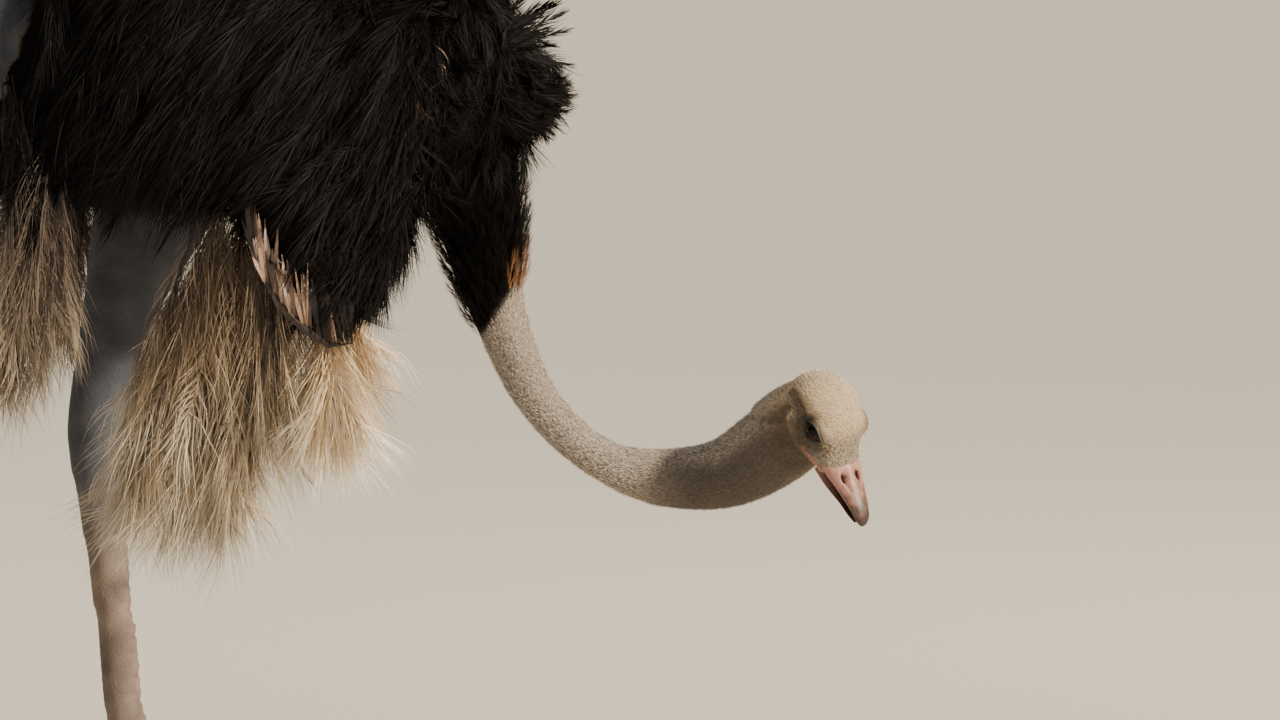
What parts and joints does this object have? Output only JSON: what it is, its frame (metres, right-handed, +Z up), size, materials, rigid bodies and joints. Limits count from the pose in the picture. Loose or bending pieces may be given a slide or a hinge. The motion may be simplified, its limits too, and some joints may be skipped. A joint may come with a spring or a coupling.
{
  "type": "grazing ostrich model",
  "caption": "Life-size still model of a male ostrich grazing in mid-stride, neck lowered, black body plumage, pale wing and tail plumes, bare grey legs.",
  "frame": {"origin": "centre of the floor rectangle under the whole bird, at sole level", "axes": "+X the way the bird faces, +Y its left side, +Z up"},
  "size_m": [1.7066, 0.6448, 1.3174],
  "materials": {
    "black_plumage": "soft glossy black feathers",
    "pale_plumage": "loose cream and brown plumes",
    "tail_plumage": "loose dusty cream plumes",
    "neck_down": "short bristly grey down over skin",
    "leg_skin": "bare wrinkled grey skin",
    "shank_scales": "scaled skin",
    "bill": "smooth horn",
    "claw": "worn horn",
    "eye": "wet and glossy"
  },
  "bodies": {
    "root": {"trunk": "black_plumage", "tail": "tail_plumage", "neck_base": "black_plumage", "neck_lower": "neck_down", "neck_middle": "neck_down", "neck_upper": "neck_down", "head": "neck_down", "bill_upper": "bill", "bill_lower": "bill", "eye_right": "eye", "eye_left": "eye", "drumstick_right": "leg_skin", "drumstick_left": "leg_skin", "shank_right": "shank_scales", "shank_left": "shank_scales", "toe_large_right": "shank_scales", "toe_large_left": "shank_scales", "toe_small_right": "shank_scales", "toe_small_left": "shank_scales", "claw_large_right": "claw", "claw_large_left": "claw", "claw_small_right": "claw", "claw_small_left": "claw", "wing_right": "black_plumage", "wing_left": "black_plumage", "primaries_right": "pale_plumage", "primaries_left": "pale_plumage", "secondaries_right": "pale_plumage", "secondaries_left": "pale_plumage", "tertials_right": "pale_plumage", "tertials_left": "pale_plumage"}
  },
  "joints": []
}
